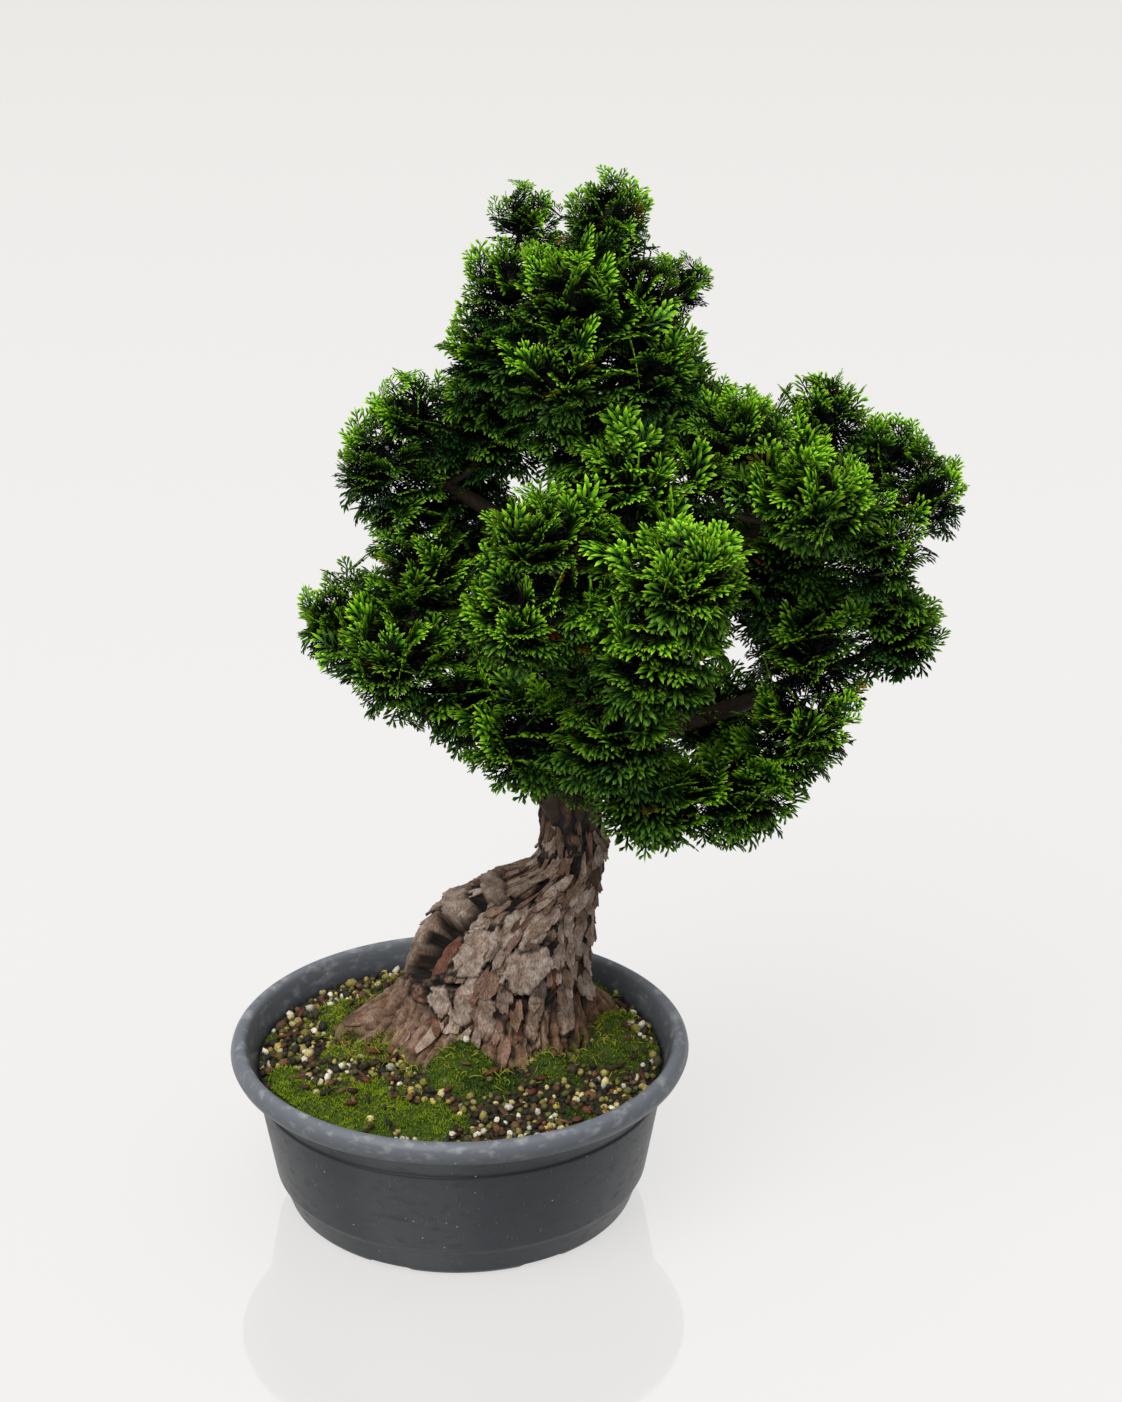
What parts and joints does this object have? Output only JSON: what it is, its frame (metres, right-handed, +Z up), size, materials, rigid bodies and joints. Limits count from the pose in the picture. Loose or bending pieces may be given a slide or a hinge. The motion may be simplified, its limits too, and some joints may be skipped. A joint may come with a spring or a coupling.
{
  "type": "hinoki cypress bonsai in pot",
  "caption": "Potted hinoki cypress bonsai with a buttressed trunk, spreading limbs and dense fan-shaped foliage in a round grey nursery pan.",
  "frame": {"origin": "middle of the pot's underside, on the surface that the pot stands on", "axes": "+Z up along the pot's axis; the tree's front is seen by looking along +Y, and its long limb reaches to +X"},
  "size_m": [0.4032, 0.2765, 0.5895],
  "materials": {
    "pot_plastic": "moulded, scuffed dark grey",
    "grit_soil": "loose grit and bark chips with moss",
    "bark": "flaking grey-brown bark",
    "foliage": "live green scale-leaf sprays"
  },
  "bodies": {
    "root": {"pot": "pot_plastic", "soil": "grit_soil", "wood": "bark", "foliage_crown_tip_left": "foliage", "foliage_crown_tip_right": "foliage", "foliage_crown_left": "foliage", "foliage_crown_front": "foliage", "foliage_crown_right": "foliage", "foliage_crown_spur": "foliage", "foliage_crown_back": "foliage", "foliage_upper_left": "foliage", "foliage_upper_front": "foliage", "foliage_upper_right": "foliage", "foliage_upper_back_left": "foliage", "foliage_upper_back_right": "foliage", "foliage_mid_left": "foliage", "foliage_mid_front": "foliage", "foliage_mid_right": "foliage", "foliage_shoulder_top": "foliage", "foliage_shoulder_tip": "foliage", "foliage_shoulder_low": "foliage", "foliage_shoulder_back": "foliage", "foliage_left_tip": "foliage", "foliage_left_front": "foliage", "foliage_left_top": "foliage", "foliage_left_low": "foliage", "foliage_left_back": "foliage", "foliage_left_inner_back": "foliage", "foliage_front_left_top": "foliage", "foliage_front_left_low": "foliage", "foliage_centre_top": "foliage", "foliage_front_right_top": "foliage", "foliage_front_right_low": "foliage", "foliage_skirt_left": "foliage", "foliage_skirt_front": "foliage", "foliage_skirt_low": "foliage", "foliage_skirt_right": "foliage", "foliage_skirt_back_left": "foliage", "foliage_skirt_back": "foliage", "foliage_skirt_back_right": "foliage", "foliage_right_inner": "foliage", "foliage_right_top": "foliage", "foliage_right_back": "foliage", "foliage_right_tip": "foliage", "foliage_right_front": "foliage", "foliage_right_under": "foliage", "foliage_right_hollow": "foliage", "foliage_right_back_high": "foliage", "foliage_right_back_arm": "foliage", "foliage_low_right_tip": "foliage", "foliage_low_right": "foliage", "foliage_low_right_skirt": "foliage", "foliage_low_right_back": "foliage", "foliage_back_high": "foliage", "foliage_back_middle": "foliage", "foliage_back_right": "foliage"}
  },
  "joints": []
}
